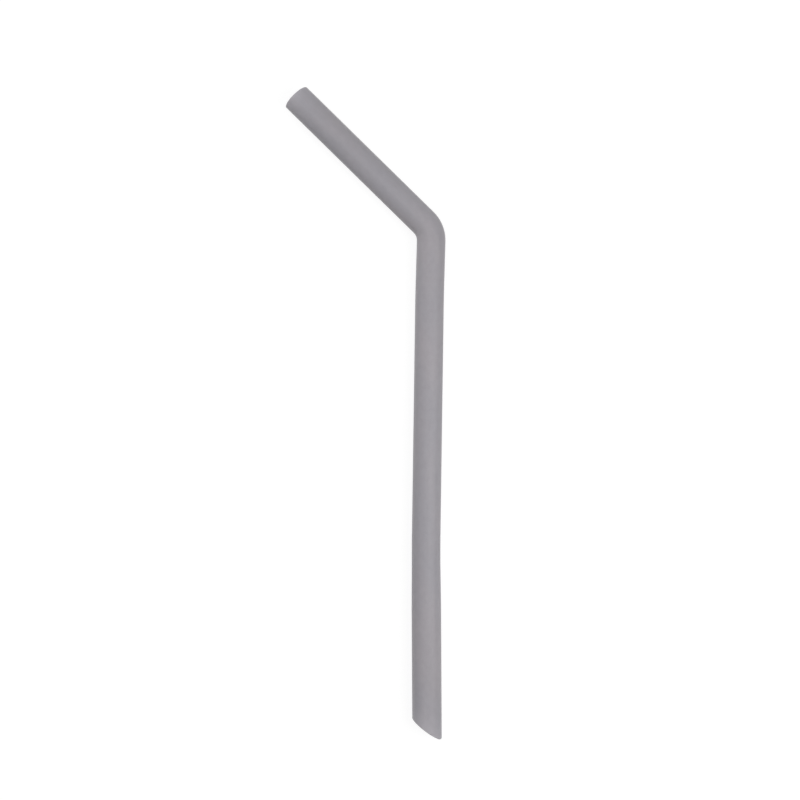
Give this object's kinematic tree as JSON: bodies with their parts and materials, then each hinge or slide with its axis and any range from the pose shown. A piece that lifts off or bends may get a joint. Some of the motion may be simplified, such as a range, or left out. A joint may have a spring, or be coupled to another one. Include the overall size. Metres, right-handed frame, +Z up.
{
  "type": "silicone drinking straw",
  "caption": "Soft silicone drinking straw: a round tube with an open bore, one tight bend below the mouth end and a slant-cut foot.",
  "frame": {"origin": "on the ground, under the middle of the box of the straw as it lies flat", "axes": "+Y along the leg, from the slant-cut foot towards the bend; -X is the side that the arm bends to; +Z up from the ground, across the plane of the bend"},
  "size_m": [0.0554, 0.2274, 0.0103],
  "materials": {
    "silicone": "matte"
  },
  "bodies": {
    "root": {"straw": "silicone"}
  },
  "joints": []
}
